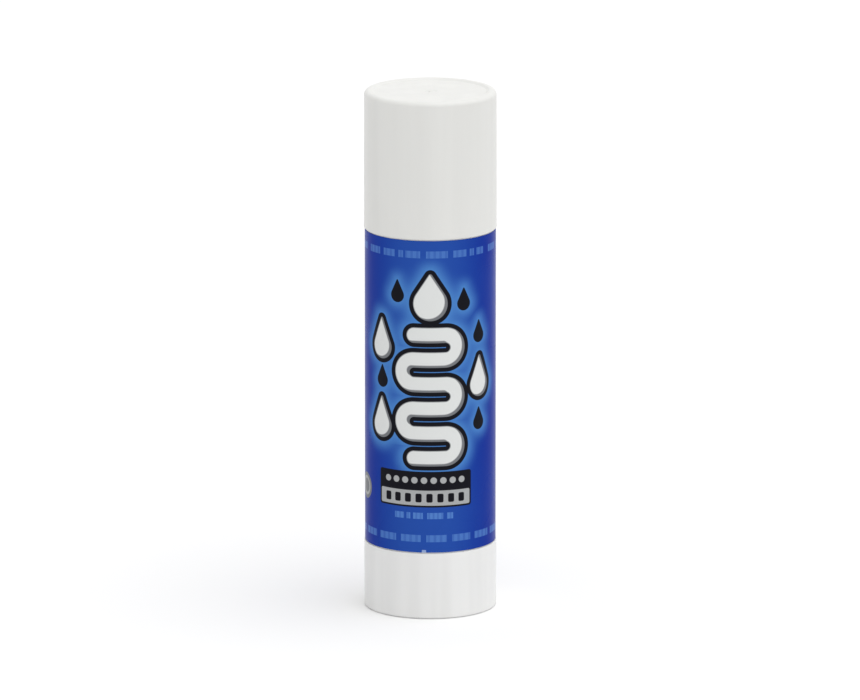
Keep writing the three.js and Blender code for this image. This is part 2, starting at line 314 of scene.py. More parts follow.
def thread(low, high, clearance=0.0):
    """The left-handed ridge of the spindle's thread, grown by a clearance where it cuts the nut."""
    mesh = bmesh.new()
    root = CORE_RADIUS - THREAD_ROOT_SINK
    crest = THREAD_RADIUS + clearance
    root_half = THREAD_ROOT_WIDTH / 2 + clearance
    crest_half = THREAD_CREST_WIDTH / 2 + clearance
    section = rounded([
        (root, -root_half, 0),
        (crest, -crest_half, FINE_EDGE),
        (crest, crest_half, FINE_EDGE),
        (root, root_half, 0),
    ])
    start = FLANGE_TOP + THREAD_MARGIN
    rise = THREAD_LEAD / THREAD_STEPS
    rows = []
    for step in range(math.floor((high - low) / rise) + 1):
        height = low + rise * step
        angle = THREAD_TURN - 2 * math.pi * (height - start) / THREAD_LEAD
        rows.append([
            mesh.verts.new((radius * math.cos(angle), radius * math.sin(angle), height + offset))
            for radius, offset in section
        ])
    for near, far in zip(rows, rows[1:]):
        for place in range(len(section)):
            following = (place + 1) % len(section)
            mesh.faces.new((near[place], near[following], far[following], far[place]))
    mesh.faces.new(rows[0])
    mesh.faces.new(rows[-1])
    return to_object("thread", mesh)


def combine(piece, tools, operation):
    """Joins tools to a piece, or cuts them from it, and removes them."""
    for tool in tools:
        modifier = piece.modifiers.new("combine", "BOOLEAN")
        modifier.operation = operation
        modifier.solver = "EXACT"
        modifier.object = tool
    graph = bpy.context.evaluated_depsgraph_get()
    result = bpy.data.meshes.new_from_object(piece.evaluated_get(graph))
    piece.modifiers.clear()
    piece.data = result
    for tool in tools:
        bpy.data.objects.remove(tool)


def smooth(piece):
    """Smooth shading that keeps steep edges sharp and flat faces flat."""
    piece.data.shade_smooth()
    piece.data.set_sharp_from_angle(angle=SHARP_ANGLE)
    weighted = piece.modifiers.new("even_shading", "WEIGHTED_NORMAL")
    weighted.keep_sharp = True
    weighted.weight = SHADING_WEIGHT


def snap_bead(middle):
    """The corners of a snap bead on a neck, listed upwards."""
    return [
        (NECK_RADIUS, middle - SNAP_HALF_WIDTH, SMALL_EDGE),
        (SNAP_RADIUS, middle - SNAP_CREST_HALF_WIDTH, FINE_EDGE),
        (SNAP_RADIUS, middle + SNAP_CREST_HALF_WIDTH, FINE_EDGE),
        (NECK_RADIUS, middle + SNAP_HALF_WIDTH, SMALL_EDGE),
    ]


def gate_mark(face, outwards):
    """The corners of a gate's mark from its rim to the axis, on a face that looks up (1) or down (-1)."""
    bottom = face - outwards * GATE_DEPTH
    tip = face + outwards * NUB_RISE
    return [
        (GATE_RADIUS + GATE_SLOPE, face, FINE_EDGE),
        (GATE_RADIUS, bottom, CRISP_EDGE),
        (NUB_RADIUS + NUB_SLOPE, bottom, KEEN_EDGE),
        (NUB_RADIUS, tip, KEEN_EDGE),
        (0, tip, 0),
    ]


# Shader nodes

class Number:
    """A value in a node tree that can be used in plain sums."""

    def __init__(self, nodes, socket):
        self.nodes = nodes
        self.socket = socket

    def do(self, operation, *others):
        return self.nodes.math(operation, self, *others)

    def __add__(self, other):
        return self.do("ADD", other)

    def __sub__(self, other):
        return self.do("SUBTRACT", other)

    def __rsub__(self, other):
        return self.nodes.math("SUBTRACT", other, self)

    def __mul__(self, other):
        return self.do("MULTIPLY", other)

    def __truediv__(self, other):
        return self.do("DIVIDE", other)

    def __abs__(self):
        return self.do("ABSOLUTE")

    __radd__ = __add__
    __rmul__ = __mul__

    def least(self, other):
        return self.do("MINIMUM", other)

    def most(self, other):
        return self.do("MAXIMUM", other)

    def between(self, low, high):
        return self.most(low).least(high)

    def above(self, limit):
        """1 where the value is greater than a limit, else 0."""
        return self.do("GREATER_THAN", limit)

    def below(self, limit):
        """1 where the value is less than a limit, else 0."""
        return self.do("LESS_THAN", limit)

    def ramp(self, low, high):
        """0 below low, 1 above high and a smooth step between them. The other way if low is higher."""
        node = self.nodes.add("ShaderNodeMapRange", interpolation_type="SMOOTHSTEP")
        rising = low < high
        self.nodes.join(self, node.inputs["Value"])
        node.inputs["From Min"].default_value = min(low, high)
        node.inputs["From Max"].default_value = max(low, high)
        node.inputs["To Min"].default_value = 0.0 if rising else 1.0
        node.inputs["To Max"].default_value = 1.0 if rising else 0.0
        return Number(self.nodes, node.outputs["Result"])


def reach(a, b):
    """The length of the vector (a, b)."""
    return (a * a + b * b).do("SQRT")


def pick(condition, chosen, other):
    """The first value where the condition is 1 and the second where it is 0."""
    return other + (chosen - other) * condition


class Nodes:
    """The node tree of a material or world, with one short call for each kind of node used here."""

    def __init__(self, owner, output="ShaderNodeOutputMaterial"):
        owner.use_nodes = True
        self.owner = owner
        self.tree = owner.node_tree
        self.tree.nodes.clear()
        self.output = self.add(output)
        self.coordinates = self.add("ShaderNodeTexCoord").outputs

    def add(self, kind, **settings):
        node = self.tree.nodes.new(kind)
        for name, value in settings.items():
            setattr(node, name, value)
        return node

    def join(self, value, socket):
        """Links a value to a socket, or sets the socket if the value is plain."""
        if isinstance(value, Number):
            self.tree.links.new(value.socket, socket)
        elif isinstance(value, bpy.types.NodeSocket):
            self.tree.links.new(value, socket)
        else:
            socket.default_value = value

    def math(self, operation, *values):
        node = self.add("ShaderNodeMath", operation=operation)
        for value, socket in zip(values, node.inputs):
            self.join(value, socket)
        return Number(self, node.outputs[0])

    def scale(self, vector, factors):
        """A vector with each of its parts multiplied by a factor of its own."""
        node = self.add("ShaderNodeVectorMath", operation="MULTIPLY")
        self.join(vector, node.inputs[0])
        self.join(factors, node.inputs[1])
        return node.outputs["Vector"]

    def split(self, vector):
        node = self.add("ShaderNodeSeparateXYZ")
        self.join(vector, node.inputs[0])
        return [Number(self, socket) for socket in node.outputs]

    def place(self, stretch=(1, 1, 1)):
        """The place on the piece in millimetres, its directions stretched by the factors given."""
        return self.scale(self.coordinates["Object"], [factor / MM for factor in stretch])

    def noise(self, scale, stretch=(1, 1, 1), detail=2.0, roughness=0.5):
        """Noise round 0.5, its scale in features to a millimetre."""
        node = self.add("ShaderNodeTexNoise")
        self.join(self.place(stretch), node.inputs["Vector"])
        node.inputs["Scale"].default_value = scale
        node.inputs["Detail"].default_value = detail
        node.inputs["Roughness"].default_value = roughness
        return Number(self, node.outputs["Fac"])

    def blend(self, share, low, high):
        """A colour between two others."""
        node = self.add("ShaderNodeMix", data_type="RGBA")
        self.join(share, node.inputs["Factor"])
        self.join(low, node.inputs["A"])
        self.join(high, node.inputs["B"])
        return node.outputs["Result"]

    def bump(self, height, distance):
        """A surface normal from a height of 0 to 1 that stands for a distance in metres."""
        node = self.add("ShaderNodeBump")
        self.join(height, node.inputs["Height"])
        node.inputs["Distance"].default_value = distance
        return node.outputs["Normal"]

    def shader(self, kind, **inputs):
        """Puts a shader on the output, and returns the material or world. Inputs have _ for a space."""
        node = self.add(kind)
        for name, value in inputs.items():
            self.join(value, node.inputs[name.replace("_", " ")])
        self.join(node.outputs[0], self.output.inputs["Surface"])
        return self.owner

    def principled(self, **inputs):
        return self.shader("ShaderNodeBsdfPrincipled", **inputs)


def new_material(name):
    """The empty node tree of a new material."""
    return Nodes(bpy.data.materials.new(name))


def tone(red, green, blue):
    """A colour given as it looks on screen, from 0 to 255, in linear light."""
    linear = []
    for value in (red, green, blue):
        share = value / 255
        linear.append(share / 12.92 if share <= 0.04045 else ((share + 0.055) / 1.055) ** 2.4)
    return (*linear, 1.0)


# Materials. Noise scales count features to a millimetre.

PLASTIC_IOR = 1.49
PLASTIC_SCATTER = (1.0, 0.95, 0.85)
PASTE_SCATTER = (1.0, 0.85, 0.6)


def white_plastic(name, light, dark, roughness):
    """Moulded white polypropylene: a soft sheen, drag marks from the mould and fine handling scratches."""
    nodes = new_material(name)
    flow = nodes.noise(0.24, stretch=(1, 1, 0.06))
    drag = nodes.noise(1.6, stretch=(1, 1, 0.04), detail=4.0, roughness=0.6)
    grain = nodes.noise(9.0)
    scratch = nodes.noise(0.9, stretch=(1, 1, 7), detail=5.0, roughness=0.72).ramp(0.62, 0.70)
    return nodes.principled(
        Base_Color=nodes.blend(flow.ramp(0.34, 0.66), dark, light),
        Roughness=roughness + drag * 0.1 + scratch * 0.12,
        IOR=PLASTIC_IOR,
        Specular_IOR_Level=0.28,
        Subsurface_Weight=0.08,
        Subsurface_Radius=PLASTIC_SCATTER,
        Subsurface_Scale=1.2 * MM,
        Normal=nodes.bump(drag * 0.55 + grain * 0.25 - scratch * 0.2, 0.012 * MM),
    )


def milky_plastic():
    """Natural polypropylene of the hidden pieces: milky, a little yellow, finely grained."""
    nodes = new_material("inner_plastic")
    cloud = nodes.noise(0.5, detail=3.0)
    grain = nodes.noise(7.0, detail=3.0)
    return nodes.principled(
        Base_Color=nodes.blend(cloud.ramp(0.3, 0.7), tone(214, 213, 205), tone(226, 226, 220)),
        Roughness=0.42 + grain * 0.12,
        IOR=PLASTIC_IOR,
        Subsurface_Weight=0.2,
        Subsurface_Radius=PLASTIC_SCATTER,
        Subsurface_Scale=1.5 * MM,
        Normal=nodes.bump(grain, 0.015 * MM),
    )


def seal_foam():
    """Closed-cell foam with its small pores, which are painted darker in their hollows as painted shade."""
    nodes = new_material("seal_foam")
    pores = nodes.add("ShaderNodeTexVoronoi", feature="F1")
    nodes.join(nodes.place(), pores.inputs["Vector"])
    pores.inputs["Scale"].default_value = 5.0
    # Painted shade: the pores are coloured darker where they sink in.
    depth = Number(nodes, pores.outputs["Distance"]).ramp(0.1, 0.5)
    return nodes.principled(
        Base_Color=nodes.blend(depth, tone(176, 178, 175), tone(206, 207, 203)),
        Roughness=0.9,
        Normal=nodes.bump(depth, 0.05 * MM),
    )


def glue_paste():
    """Waxy glue: off-white, slightly see-through where it is thick, with a faint smear from casting."""
    nodes = new_material("glue_paste")
    x, y, _ = nodes.split(nodes.place())
    beside_spindle = reach(x, y).ramp(4.0, 6.5)
    cloud = nodes.noise(0.35, detail=4.0)
    smear = nodes.noise(0.8, stretch=(1, 1, 0.25), detail=5.0, roughness=0.62)
    return nodes.principled(
        Base_Color=nodes.blend(cloud.ramp(0.32, 0.7), tone(231, 227, 212), tone(240, 237, 225)),
        Roughness=0.3 + smear * 0.22,
        IOR=1.45,
        Subsurface_Weight=beside_spindle * 0.6,
        Subsurface_Radius=PASTE_SCATTER,
        Subsurface_Scale=2.5 * MM,
        Normal=nodes.bump(smear, 0.06 * MM),
    )


# The label's print. Its sizes are in millimetres on the unrolled film: across from the front, and up.

PRINT_BLUE = tone(39, 79, 168)
# The darker blue is painted shade for the ground's sides.
PRINT_SHADE_BLUE = tone(14, 46, 150)
PRINT_PATTERN = tone(44, 92, 180)
PRINT_HALO = tone(82, 140, 208)
PRINT_PALE_BLUE = tone(96, 144, 214)
PRINT_MIST = tone(150, 172, 216)
PRINT_WHITE = tone(226, 228, 227)
PRINT_SILVER = tone(172, 174, 175)
PRINT_GREY = tone(122, 124, 128)
PRINT_BLACK = tone(24, 24, 30)

FILM_RADIUS = LABEL_RADIUS / MM
INK_EDGE = 0.05
OUTLINE_WIDTH = 0.8
SHADE_SHIFT = (0.45, -0.3)
SHADE_EDGE = 0.25
GLOW_WIDTH = 4.6
GLOW_START = 0.2
GLOW_BLEND = 2.5
GLOW_STRENGTH = 0.9

# The blue ground is painted darker towards the stick's sides as painted shade. Its unshaded middle sits
# left of the front, so the lit right side is painted darker too.
GROUND_UNSHADED_MIDDLE = -0.8
GROUND_UNSHADED_HALF = 3.0
GROUND_SHADE_HALF = 15.0
GROUND_SHADE_STRENGTH = 0.65
GROUND_MOTTLE = 0.6

# The trail of glue
TRAIL_PLACE = (-0.1, 31.1)
TRAIL_ROWS = 5
TRAIL_PITCH = 4.75
TRAIL_STRAIGHT_HALF = 3.0
TRAIL_HALF_WIDTH = 1.5

# Drops: the radius of the foot and the height, then the places of the feet
DROP_TIP = 0.12
BIG_DROP = (3.3, 9.0)
WHITE_DROP = (2.4, 8.0)
BLACK_DROP = (1.4, 4.4)
PATTERN_DROP = (1.1, 3.6)
BIG_PLACES = ((0.0, 57.6),)
WHITE_PLACES = ((-10.2, 49.6), (-10.2, 34.4), (10.4, 42.3))
BLACK_PLACES = ((-10.1, 44.1), (-6.5, 60.9), (6.6, 59.3), (10.2, 52.7), (10.2, 35.9))

# Rows of dashes: the height of the middle, the thickness, the waves' counts round the stick, the strength
UPPER_ROW = (70.3, 1.35, (17, 29, 43), 0.52)
LOWER_ROW = (15.6, 1.35, (16, 31, 47), 0.56)
SHORT_ROW = (20.0, 1.2, (23, 37, 61), 0.7)
SHORT_ROW_MIDDLE = -1.5
SHORT_ROW_HALF = 5.9

# The waves that break a row into dashes: how they start and add up, and where their sum is printed
WAVE_START = 1.7
WAVE_SHARE = 0.65
DASH_LIMITS = (-0.8, -0.5)
WEAVE_LIMITS = (-0.6, 0.2)
WEAVE_DEPTH = 0.35

# The strip: a row of beads over a row of bars
STRIP_PLACE = (-1.2, 25.1)
STRIP_SIZE = (18.9, 6.9)
STRIP_CORNER = 0.5
BEAD_ROW = 26.85
BEAD_RADIUS = 0.62
BEAD_PITCH = 1.84
BEAD_COUNT = 9
BAR_ROW = 23.45
BAR_ROW_SIZE = (18.2, 2.9)
BAR_SIZE = (1.2, 1.7)
BAR_CORNER = 0.3
BAR_PITCH = 2.08
BAR_COUNT = 8

# The round seal at the left edge, and the tick at the lower one
ROUND_PLACE = (-16.2, 23.9)
ROUND_RADIUS = 2.5
ROUND_RING_DEPTH = 0.9
ROUND_RING_WIDTH = 0.5
TICK_PLACE = (-1.2, 12.9)
TICK_SIZE = (0.8, 1.0)
TICK_CORNER = 0.1

# The panel at the left side: columns of upright dashes, broken by waves up and across
PANEL_PLACE = (-25.75, 44.0)
PANEL_HEIGHT = 36.0
PANEL_COLUMNS = 6
PANEL_PITCH = 2.3
PANEL_DASH_WIDTH = 1.0
PANEL_MARGIN = 2.0
PANEL_CORNER = 0.1
PANEL_WAVES = ((0.83, 2.1, 1.0), (1.9, 1.0, 0.7))
PANEL_LIMIT = -0.65
PANEL_STRENGTH = 0.8

# The staggered drops round the sides and back, and the cut edge of the film's lap
PATTERN_COLUMNS = 12
PATTERN_ROWS = 7
PATTERN_START = 20.0
PATTERN_FOOT = 1.4
PATTERN_FRONT_HALF = 19.0
CUT_EDGE_WIDTH = 0.12
CUT_EDGE_STRENGTH = 0.5


def trail(x, y):
    """The distance from the middle line of the glue's trail, which runs to and fro in rows, upwards."""
    row = (y / TRAIL_PITCH).do("FLOOR").between(0.0, TRAIL_ROWS - 1.0)
    x = x * (1.0 - 2.0 * row.do("MODULO", 2.0))
    y_row = abs(y - (row + 0.5) * TRAIL_PITCH)
    past_bend = (x - TRAIL_STRAIGHT_HALF).most(0.0)
    past_end = (-1.0 * x - TRAIL_STRAIGHT_HALF).most(0.0)
    bend = abs(reach(past_bend, y_row) - TRAIL_PITCH / 2)
    next_bend = reach(past_end, TRAIL_PITCH - y_row) - TRAIL_PITCH / 2
    free_end = reach(past_end, y_row - TRAIL_PITCH / 2)
    height = TRAIL_ROWS * TRAIL_PITCH
    in_end_row = abs(y - height / 2).above((height - TRAIL_PITCH) / 2)
    return pick(past_end.above(0.0), pick(in_end_row, free_end, next_bend), bend)


def drop(x, y, radius, height):
    """The distance outside a drop that stands on its round foot, with a soft tip above."""
    tip = DROP_TIP * radius
    length = height - radius - tip
    lean = (radius - tip) / length
    upright = math.sqrt(1 - lean**2)
    x = abs(x)
    y = y - radius
    along = y * upright - x * lean
    side = x * upright + y * lean - radius
    above = pick(along.above(upright * length), reach(x, y - length) - tip, side)
    return pick(along.below(0.0), reach(x, y) - radius, above)


def drops(across, up, size, places):
    """The distances outside drops of one size whose feet stand at the places given."""
    return [drop(across - middle, up - foot, *size) for middle, foot in places]


def plate(x, y, size, corner):
    """The distance outside a rectangle with round corners."""
    x = abs(x) - (size[0] / 2 - corner)
    y = abs(y) - (size[1] / 2 - corner)
    return reach(x.most(0.0), y.most(0.0)) + x.most(y).least(0.0) - corner


def nearest(distances, blend=0.0):
    """The least of the distances, rounded off where two are nearly equal."""
    least = distances[0]
    for distance in distances[1:]:
        least = least.do("SMOOTH_MIN", distance, blend)
    return least


def ink(distance):
    """1 where a shape is printed, from the distance outside it."""
    return distance.ramp(INK_EDGE, -INK_EDGE)


def dashes(angle, up, middle, thickness, counts, strength):
    """A row of uneven dashes round the stick, from waves that each fit round it a whole number of times."""
    wave = (angle * counts[0]).do("SINE")
    for place, count in enumerate(counts[1:], start=1):
        wave = wave + (angle * count + WAVE_START * place).do("SINE") * WAVE_SHARE
    fine_wave = (angle * (4 * counts[0] + 3)).do("SINE")
    weave = fine_wave.ramp(*WEAVE_LIMITS) * WEAVE_DEPTH + (1 - WEAVE_DEPTH)
    return wave.ramp(*DASH_LIMITS) * weave * ink(abs(up - middle) - thickness / 2) * strength


def glue_motifs(across, up):
    """The distances outside the trail of glue, the big drop over it and the white drops beside them."""
    path = trail(across - TRAIL_PLACE[0], up - TRAIL_PLACE[1]) - TRAIL_HALF_WIDTH
    return [path, *drops(across, up, BIG_DROP, BIG_PLACES), *drops(across, up, WHITE_DROP, WHITE_PLACES)]


def add_rows(nodes, colour, angle, up):
    """The rows of dashes at the top and the bottom, and the short one under the strip."""
    off_middle = abs(angle * FILM_RADIUS - SHORT_ROW_MIDDLE)
    short_row = dashes(angle, up, *SHORT_ROW) * ink(off_middle - SHORT_ROW_HALF)
    for row in (dashes(angle, up, *UPPER_ROW), dashes(angle, up, *LOWER_ROW), short_row):
        colour = nodes.blend(row, colour, PRINT_PALE_BLUE)
    return colour


def add_strip(nodes, colour, across, up):
    """The strip: a black row of pale beads over a pale row of black bars."""
    x = across - STRIP_PLACE[0]
    strip = plate(x, up - STRIP_PLACE[1], STRIP_SIZE, STRIP_CORNER)
    colour = nodes.blend(ink(strip), colour, PRINT_BLACK)
    bead_x = (abs(x) + BEAD_PITCH / 2).do("MODULO", BEAD_PITCH) - BEAD_PITCH / 2
    beads = ink(reach(bead_x, up - BEAD_ROW) - BEAD_RADIUS) * ink(abs(x) - BEAD_COUNT * BEAD_PITCH / 2)
    colour = nodes.blend(beads, colour, PRINT_SILVER)
    bar_row = plate(x, up - BAR_ROW, BAR_ROW_SIZE, BAR_CORNER)
    colour = nodes.blend(ink(bar_row), colour, PRINT_SILVER)
    bar_x = abs(x).do("MODULO", BAR_PITCH) - BAR_PITCH / 2
    bars = ink(plate(bar_x, up - BAR_ROW, BAR_SIZE, BAR_CORNER)) * ink(abs(x) - BAR_COUNT * BAR_PITCH / 2)
    return nodes.blend(bars, colour, PRINT_BLACK)


def add_seal_and_tick(nodes, colour, across, up):
    """A plain round seal with a pale ring in it, and the tick where the film's printing is lined up."""
    seal = reach(across - ROUND_PLACE[0], up - ROUND_PLACE[1]) - ROUND_RADIUS
    colour = nodes.blend(ink(seal), colour, PRINT_GREY)
    colour = nodes.blend(ink(abs(seal + ROUND_RING_DEPTH) - ROUND_RING_WIDTH / 2), colour, PRINT_SILVER)
    tick = plate(across - TICK_PLACE[0], up - TICK_PLACE[1], TICK_SIZE, TICK_CORNER)
    return nodes.blend(ink(tick), colour, PRINT_MIST)


def add_side_print(nodes, colour, across, up):
    """What the sides and back show: a panel of upright dashes, and staggered drops in a paler blue."""
    width = PANEL_COLUMNS * PANEL_PITCH
    x = across - (PANEL_PLACE[0] - width / 2)
    column = (x / PANEL_PITCH).do("FLOOR")
    cell = up.do("FLOOR")
    wave = 0.0
    for rising, sideways, share in PANEL_WAVES:
        wave = (cell * rising + column * sideways).do("SINE") * share + wave
    dash = ink(abs(x - PANEL_PITCH * (column + 0.5)) - PANEL_DASH_WIDTH / 2)
    off_panel = across - PANEL_PLACE[0]
    panel = ink(plate(off_panel, up - PANEL_PLACE[1], (width, PANEL_HEIGHT), PANEL_CORNER))
    colour = nodes.blend(wave.above(PANEL_LIMIT) * dash * panel * PANEL_STRENGTH, colour, PRINT_MIST)

    step = 2 * math.pi * FILM_RADIUS / PATTERN_COLUMNS
    row = ((up - PATTERN_START) / step).do("FLOOR")
    stagger = row.do("MODULO", 2.0) * step / 2
    cell_x = (across + stagger + PATTERN_COLUMNS * step).do("MODULO", step) - step / 2
    pattern = ink(drop(cell_x, up - row * step - (PATTERN_START + PATTERN_FOOT), *PATTERN_DROP))
    middle = across - cell_x
    beside_panel = abs(middle - PANEL_PLACE[0]).above(width / 2 + PANEL_MARGIN)
    behind = abs(middle).above(PATTERN_FRONT_HALF)
    in_rows = row.above(-0.5) * row.below(PATTERN_ROWS - 0.5)
    return nodes.blend(pattern * beside_panel * behind * in_rows, colour, PRINT_PATTERN)


def label_film():
    """The label's film: white glue motifs with black edges and a pale glow, on a blue ground."""
    nodes = new_material("label_film")
    x, y, up = nodes.split(nodes.place())
    angle = nodes.math("ARCTAN2", x, y * -1.0)
    across = angle * FILM_RADIUS
    mottle = nodes.noise(0.07)

    # Painted shade: the ground's blue darkens towards the stick's sides, and sooner on the right.
    depth = abs(across - GROUND_UNSHADED_MIDDLE).ramp(GROUND_UNSHADED_HALF, GROUND_SHADE_HALF)
    colour = nodes.blend(depth * (GROUND_SHADE_STRENGTH + mottle * GROUND_MOTTLE), PRINT_BLUE, PRINT_SHADE_BLUE)
    colour = add_side_print(nodes, colour, across, up)

    motifs = glue_motifs(across, up)
    shape = nearest(motifs)
    dark_drops = nearest(drops(across, up, BLACK_DROP, BLACK_PLACES))
    glow = nearest([*motifs, dark_drops + OUTLINE_WIDTH], blend=GLOW_BLEND).ramp(GLOW_WIDTH, GLOW_START)
    colour = nodes.blend(glow * glow * GLOW_STRENGTH, colour, PRINT_HALO)
    colour = add_rows(nodes, colour, angle, up)

    colour = nodes.blend(ink(shape - OUTLINE_WIDTH), colour, PRINT_BLACK)
    colour = nodes.blend(ink(dark_drops), colour, PRINT_BLACK)
    colour = nodes.blend(ink(shape), colour, PRINT_GREY)
    lifted = nearest(glue_motifs(across + SHADE_SHIFT[0], up + SHADE_SHIFT[1]))
    colour = nodes.blend(shape.most(lifted).ramp(0.0, -SHADE_EDGE), colour, PRINT_WHITE)
    colour = add_strip(nodes, colour, across, up)
    colour = add_seal_and_tick(nodes, colour, across, up)
    cut_edge = abs(across + (math.pi * FILM_RADIUS - LAP_WIDTH / MM)) - CUT_EDGE_WIDTH / 2
    colour = nodes.blend(ink(cut_edge) * CUT_EDGE_STRENGTH, colour, PRINT_PALE_BLUE)

    ripple = nodes.noise(0.25, stretch=(1, 1, 0.5), detail=3.0)
    return nodes.principled(
        Base_Color=colour,
        Roughness=0.22 + mottle * 0.12,
        IOR=1.46,
        Specular_IOR_Level=0.04,
        Normal=nodes.bump(ripple, 0.02 * MM),
    )


# Pieces

def make_cap():
    """The push-on cap: drafted wall, round top edge, recessed top with its gate mark, stop ribs inside."""
    low, high = CAP_LOW.z, CAP_HIGH.z
    taper = math.tan(DRAFT) * (high - low)
    neck_top = BARREL_HIGH.z
    face = high - TOP_RECESS
    ceiling = face - TOP_WALL
    recess = SLEEVE_RADIUS - taper - TOP_RIM
    cap = revolve("cap_shell", [
        (0, ceiling, 0),
        (SLEEVE_BORE - taper, ceiling, BROAD_EDGE),
        (SLEEVE_BORE, neck_top, 0),
        (SLEEVE_BORE, low + MOUTH_LEAD, 0),
        (SLEEVE_BORE + MOUTH_FLARE, low, CRISP_EDGE),
        (SLEEVE_RADIUS, low, CRISP_EDGE),
        (SLEEVE_RADIUS - taper, high, TOP_EDGE),
        (recess, high, SOFT_EDGE),
        (recess - TOP_SLOPE, face, SOFT_EDGE),
        *gate_mark(face, outwards=1),
    ])
    inner = NECK_RADIUS - STOP_RIB_REACH
    outer = (SLEEVE_BORE + SLEEVE_RADIUS) / 2
    stops = ribs(STOP_RIBS, inner, outer, STOP_RIB, neck_top + STOP_RIB_GAP, ceiling + TOP_WALL / 2)
    combine(cap, stops, "UNION")
    return cap


def make_knob():
    """The turning knob: drafted wall, standing ring and gate mark underneath, boss and gussets inside."""
    low, high = KNOB_LOW.z, KNOB_HIGH.z
    foot_radius = SLEEVE_RADIUS - math.tan(DRAFT) * (high - low)
    recess = foot_radius - FOOT_RING
    face = low + FOOT_RECESS
    floor_top = face + KNOB_FLOOR
    boss_top = floor_top + BOSS_HEIGHT
    knob = revolve("knob_shell", [
        *reversed(gate_mark(face, outwards=-1)),
        (recess - FOOT_SLOPE, face, FINE_EDGE),
        (recess, low, FINE_EDGE),
        (foot_radius, low, FOOT_EDGE),
        (SLEEVE_RADIUS, high, CRISP_EDGE),
        (SLEEVE_BORE, high, FINE_EDGE),
        (SLEEVE_BORE, floor_top, SOFT_EDGE),
        (BOSS_RADIUS, floor_top, SOFT_EDGE),
        (BOSS_RADIUS, boss_top, SMALL_EDGE),
        (0, boss_top, 0),
    ])
    inner = (BOSS_RADIUS + SOCKET_RADIUS) / 2
    outer = (SLEEVE_BORE + SLEEVE_RADIUS) / 2
    gussets = ribs(GUSSETS, inner, outer, GUSSET, floor_top - KNOB_FLOOR / 2, floor_top + GUSSET_HEIGHT)
    combine(knob, gussets, "UNION")
    combine(knob, [hexagon(SOCKET_RADIUS, floor_top, boss_top + MM)], "DIFFERENCE")
    return knob


def make_barrel():
    """The barrel: necks with snap beads, the floor with its hole, and the guide ribs in the bore."""
    low, high = BARREL_LOW.z, BARREL_HIGH.z
    floor_top = low + BARREL_FLOOR
    lower_shoulder = KNOB_HIGH.z + SHOULDER_GAP
    upper_shoulder = CAP_LOW.z - SHOULDER_GAP
    barrel = revolve("barrel_tube", [
        (BARREL_HOLE, low, CRISP_EDGE),
        (NECK_RADIUS, low, SOFT_EDGE),
        *snap_bead(low + KNOB_SNAP_HEIGHT),
        (NECK_RADIUS, lower_shoulder, CRISP_EDGE),
        (BARREL_RADIUS, lower_shoulder, KEEN_EDGE),
        (BARREL_RADIUS, upper_shoulder, KEEN_EDGE),
        (NECK_RADIUS, upper_shoulder, FINE_EDGE),
        *snap_bead(upper_shoulder + CAP_SNAP_HEIGHT),
        (NECK_RADIUS, high, SOFT_EDGE),
        (BORE_RADIUS, high, SMALL_EDGE),
        (BORE_RADIUS, floor_top, SOFT_EDGE),
        (BARREL_HOLE, floor_top, CRISP_EDGE),
    ], ring=True)
    inner = BORE_RADIUS - GUIDE_DEPTH
    outer = (BORE_RADIUS + NECK_RADIUS) / 2
    guides = ribs(GUIDE_RIBS, inner, outer, GUIDE_RIB, low + BARREL_FLOOR / 2, high - GUIDE_TOP_MARGIN)
    combine(barrel, guides, "UNION")
    return barrel


def make_label():
    """The film sleeve, lapped on itself at the back where its end stands proud of the layer below."""
    low, high = LABEL_LOW.z, LABEL_HIGH.z
    inner = LABEL_RADIUS - FILM_THICKNESS
    back = math.pi / 2

    def lapped(angle, radius, height):
        turn = (angle - back + math.pi) % (2 * math.pi) - math.pi
        on_lap = 0 <= turn <= LAP_WIDTH / LABEL_RADIUS
        if radius > inner + FILM_THICKNESS / 2 and not on_lap:
            return radius - LAP_STEP, height
        return radius, height

    corners = [
        (inner, low, 0),
        (LABEL_RADIUS, low, HAIR_EDGE),
        (LABEL_RADIUS, high, HAIR_EDGE),
        (inner, high, 0),
    ]
    return revolve("label_film", corners, columns=2 * COLUMNS, ring=True, shape=lapped)


